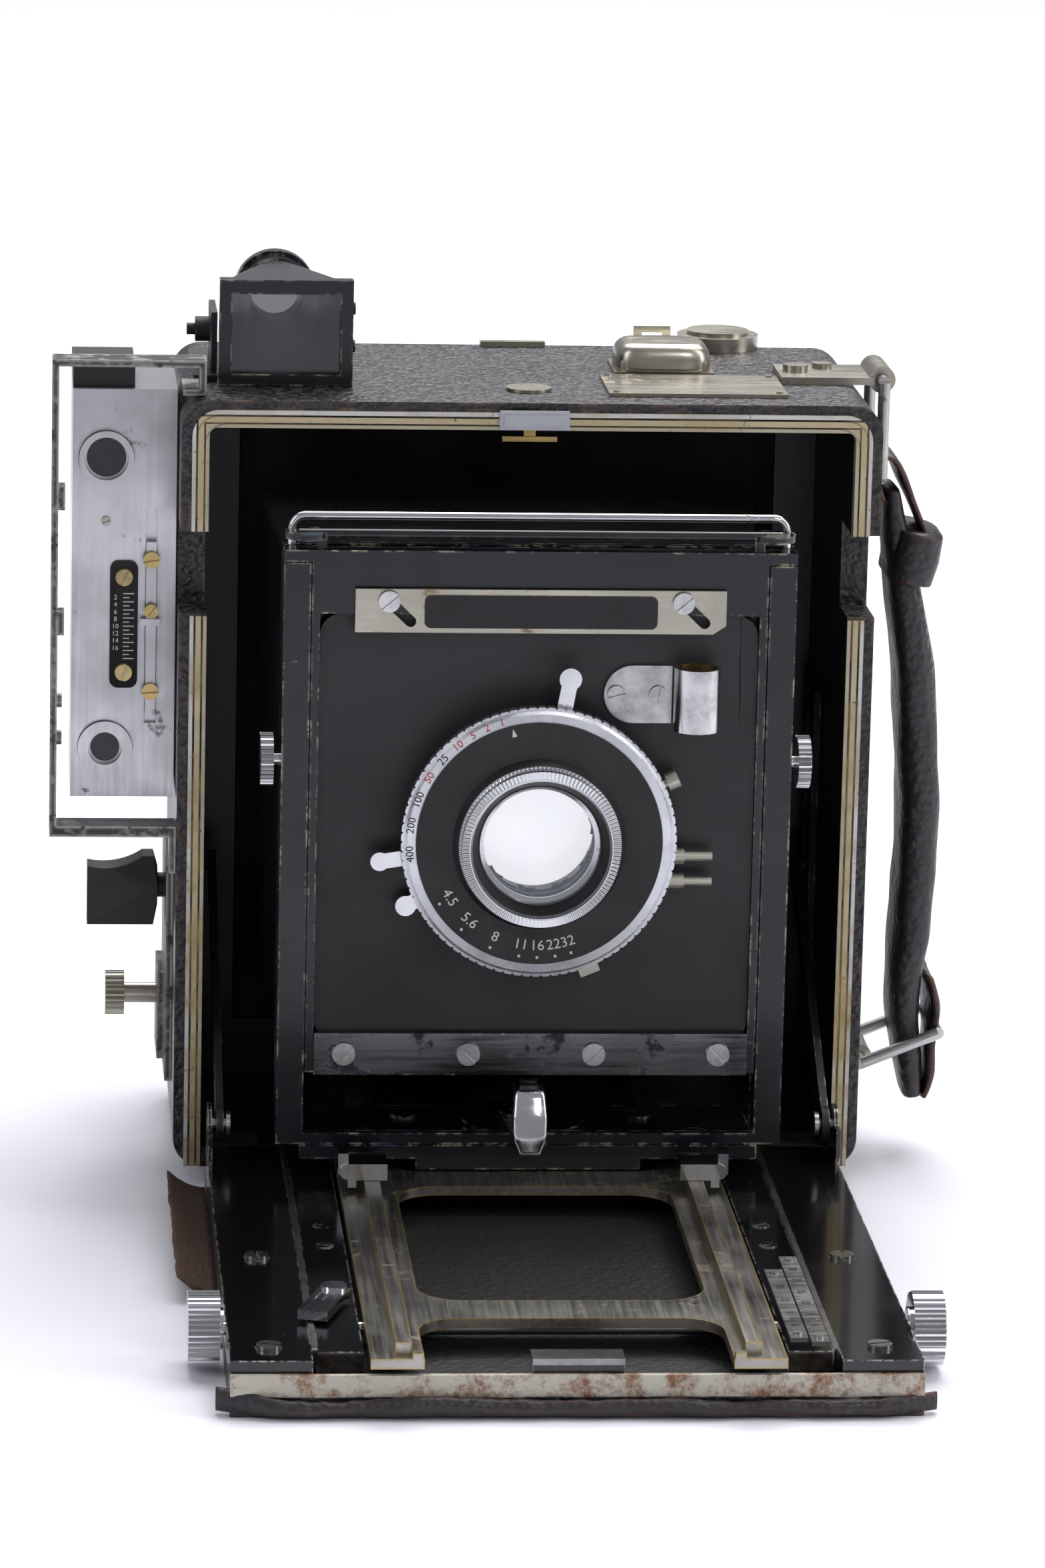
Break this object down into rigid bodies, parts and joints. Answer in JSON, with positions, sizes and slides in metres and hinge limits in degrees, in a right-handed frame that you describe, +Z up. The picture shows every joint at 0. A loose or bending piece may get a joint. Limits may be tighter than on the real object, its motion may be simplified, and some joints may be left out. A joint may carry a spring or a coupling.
{
  "type": "folding press camera",
  "caption": "Folding press camera with a hinged bed, sliding lens standard, leaf shutter, bellows, tubular finder, rangefinder, hand strap and focal-plane back.",
  "frame": {"origin": "mouth of the tripod socket in the middle of the underside", "axes": "+X to the right seen from the front, +Y from the lens to the film back, +Z up; the bed lies along -Y"},
  "size_m": [0.2188, 0.2836, 0.2164],
  "materials": {
    "pebbled_leather": "black pebbled leather, worn shiny on the top",
    "trim": "silver and black striping worn to brass",
    "steel": "worn plated steel",
    "worn_steel": "dark paint rubbed to bare metal",
    "brass": "tarnished",
    "black_wood": "black painted hardwood",
    "frosted_glass": "ground on one face",
    "clear_glass": "coated",
    "black_enamel": "blue-black enamel with chipped edges",
    "bellows_leather": "matt black leather cloth",
    "aluminium": "brushed, scratched",
    "black_plastic": "matt black",
    "nickel": "yellowed nickel plate",
    "chrome": "polished, scratched",
    "track_steel": "plate worn to brass at the edges",
    "strap_leather": "black leather, rust brown where worn",
    "painted_board": "satin black paint over hardwood",
    "shutter_black": "satin black with white figures"
  },
  "bodies": {
    "body": {"body_shell": "pebbled_leather", "front_trim": "trim", "inner_rails": "steel", "bed_latch": "brass", "film_gate": "black_wood", "back_frame": "black_wood", "ground_glass": "frosted_glass", "hood_box": "black_enamel", "bellows_rear": "bellows_leather", "viewfinder_case": "black_enamel", "viewfinder_glass": "clear_glass", "finder_bracket": "black_enamel", "flash_bracket": "worn_steel", "rangefinder_case": "aluminium", "rangefinder_windows": "aluminium", "rangefinder_scale": "black_enamel", "winding_plate": "worn_steel", "table_plate": "nickel", "release_dome": "nickel", "strap_lugs": "nickel", "strap_loops": "steel", "strap": "strap_leather", "tripod_plate": "steel", "strut_brackets": "black_enamel", "hinge_rod": "steel"},
    "hood_door": {"hood_door": "pebbled_leather"},
    "roller": {"curtain_roller": "black_enamel"},
    "winding_key": {"winding_key": "black_plastic"},
    "tension_knob": {"tension_knob": "nickel"},
    "rf_slider": {"rangefinder_slider": "aluminium"},
    "bail": {"dome_bail": "nickel"},
    "bed": {"bed_panel": "pebbled_leather", "bed_plates": "black_enamel", "bed_scales": "steel", "strut_pins": "steel"},
    "bed_lock": {"bed_lock": "chrome"},
    "focus_knobs": {"focus_shaft": "steel"},
    "strut_left": {"strut_left": "black_enamel"},
    "strut_right": {"strut_right": "black_enamel"},
    "track": {"track": "track_steel"},
    "stop_left": {"stop_left": "chrome"},
    "stop_right": {"stop_right": "chrome"},
    "carriage": {"carriage_shoes": "steel"},
    "base": {"standard_base": "black_enamel"},
    "base_lever": {"base_lever": "chrome"},
    "standard": {"standard_posts": "black_enamel"},
    "side_knobs": {"side_knobs": "chrome"},
    "lens_frame": {"lens_frame": "black_enamel", "lens_board": "painted_board", "board_clip": "chrome", "shutter_case": "shutter_black", "lens_glass": "clear_glass", "bellows_front": "bellows_leather"},
    "board_slide": {"board_slide": "nickel"},
    "speed_ring": {"speed_ring": "chrome"},
    "cocking_lever": {"cocking_lever": "chrome"},
    "release_lever": {"release_lever": "chrome"},
    "aperture_lever": {"aperture_lever": "chrome"},
    "finder_stops": {"finder_stops": "brass"},
    "finder_wire": {"finder_wire": "chrome"}
  },
  "joints": [
    {"name": "hood_open", "type": "hinge", "parent": "body", "child": "hood_door", "pos_m": [0, 0.0552, 0.149], "axis": [1, 0, 0], "range_deg": [0, 105]},
    {"name": "wind", "type": "hinge", "parent": "body", "child": "winding_key", "pos_m": [-0.088, -0.008, 0.065], "axis": [1, 0, 0], "range_deg": [0, 180]},
    {"name": "roller_turn", "type": "hinge", "parent": "body", "child": "roller", "pos_m": [0, 0.0336, 0.167], "axis": [1, 0, 0], "range_deg": [0, 180]},
    {"name": "tension", "type": "hinge", "parent": "body", "child": "tension_knob", "pos_m": [-0.088, -0.008, 0.038], "axis": [1, 0, 0], "range_deg": [0, 180]},
    {"name": "rangefinder_slide", "type": "slide", "parent": "body", "child": "rf_slider", "axis": [0, 0, 1], "range_m": [0, 0.0075]},
    {"name": "bail_swing", "type": "hinge", "parent": "body", "child": "bail", "pos_m": [0.033, 0.0162, 0.194], "axis": [1, 0, 0], "range_deg": [-75, 10]},
    {"name": "bed_fold", "type": "hinge", "parent": "body", "child": "bed", "pos_m": [0, -0.0475, 0.0065], "axis": [1, 0, 0], "range_deg": [-90, 0], "deforming": ["bellows_rear"]},
    {"name": "bed_lock_turn", "type": "hinge", "parent": "bed", "child": "bed_lock", "pos_m": [-0.0506, -0.178, 0.012], "axis": [0, 0, 1], "range_deg": [-50, 12]},
    {"name": "focus", "type": "slide", "parent": "bed", "child": "track", "axis": [0, -1, 0], "range_m": [0, 0.018]},
    {"name": "focus_spin", "type": "hinge", "parent": "bed", "child": "focus_knobs", "pos_m": [0, -0.189, 0.0092], "axis": [1, 0, 0], "range_deg": [0, 610]},
    {"name": "strut_left_turn", "type": "hinge", "parent": "bed", "child": "strut_left", "pos_m": [0, -0.062, 0.02], "axis": [1, 0, 0], "range_deg": [0, 117]},
    {"name": "strut_right_turn", "type": "hinge", "parent": "bed", "child": "strut_right", "pos_m": [0, -0.062, 0.02], "axis": [1, 0, 0], "range_deg": [0, 117]},
    {"name": "stop_left_flip", "type": "hinge", "parent": "track", "child": "stop_left", "pos_m": [-0.0434, -0.092, 0.0178], "axis": [0, -1, 0], "range_deg": [0, 90]},
    {"name": "stop_right_flip", "type": "hinge", "parent": "track", "child": "stop_right", "pos_m": [0.0434, -0.092, 0.0178], "axis": [0, 1, 0], "range_deg": [0, 90]},
    {"name": "standard_level", "type": "hinge", "parent": "track", "child": "carriage", "pos_m": [0, -0.079, 0.038], "axis": [1, 0, 0], "range_deg": [0, 90]},
    {"name": "standard_slide", "type": "slide", "parent": "carriage", "child": "base", "axis": [0, 1, 0], "range_m": [0, 0.025]},
    {"name": "base_lever_turn", "type": "hinge", "parent": "base", "child": "base_lever", "pos_m": [0, -0.06, 0.022], "axis": [0, 0, 1], "range_deg": [-20, 20]},
    {"name": "lens_shift", "type": "slide", "parent": "base", "child": "standard", "axis": [1, 0, 0], "range_m": [-0.008, 0.008]},
    {"name": "side_knob_turn", "type": "hinge", "parent": "standard", "child": "side_knobs", "pos_m": [0, -0.073, 0.111], "axis": [1, 0, 0], "range_deg": [0, 120]},
    {"name": "lens_rise", "type": "slide", "parent": "standard", "child": "lens_frame", "axis": [0, 0, 1], "range_m": [0, 0.019], "deforming": ["bellows_front"]},
    {"name": "board_slide_move", "type": "slide", "parent": "lens_frame", "child": "board_slide", "axis": [-0.7214, 0, 0.6925], "range_m": [0, 0.0065]},
    {"name": "speed_turn", "type": "hinge", "parent": "lens_frame", "child": "speed_ring", "pos_m": [0, -0.088, 0.095], "axis": [0, 1, 0], "range_deg": [0, 150]},
    {"name": "cocking", "type": "hinge", "parent": "lens_frame", "child": "cocking_lever", "pos_m": [0, -0.085, 0.095], "axis": [0, 1, 0], "range_deg": [0, 30], "stiffness_Nm_per_rad": 0.02},
    {"name": "release", "type": "hinge", "parent": "lens_frame", "child": "release_lever", "pos_m": [0, -0.083, 0.095], "axis": [0, 1, 0], "range_deg": [-10, 0], "stiffness_Nm_per_rad": 0.05},
    {"name": "aperture", "type": "hinge", "parent": "lens_frame", "child": "aperture_lever", "pos_m": [0, -0.082, 0.095], "axis": [0, 1, 0], "range_deg": [-53, 0]},
    {"name": "finder_stow", "type": "slide", "parent": "lens_frame", "child": "finder_stops", "axis": [0, 0, -1], "range_m": [0, 0.011]},
    {"name": "finder_raise", "type": "slide", "parent": "finder_stops", "child": "finder_wire", "axis": [0, 0, 1], "range_m": [0, 0.06]}
  ],
  "couplings": [
    {"joint": "roller_turn", "follows": "wind", "ratio": 1},
    {"joint": "rangefinder_slide", "follows": "focus", "ratio": 0.3},
    {"joint": "focus_spin", "follows": "focus", "rad_per_m": 588.24},
    {"joint": "standard_level", "follows": "bed_fold", "ratio": -1},
    {"joint": "strut_left_turn", "follows": "bed_fold", "ratio": -1.2937},
    {"joint": "strut_right_turn", "follows": "bed_fold", "ratio": -1.2937},
    {"joint": "finder_stow", "follows": "bed_fold", "m_per_rad": -0.0070028}
  ]
}
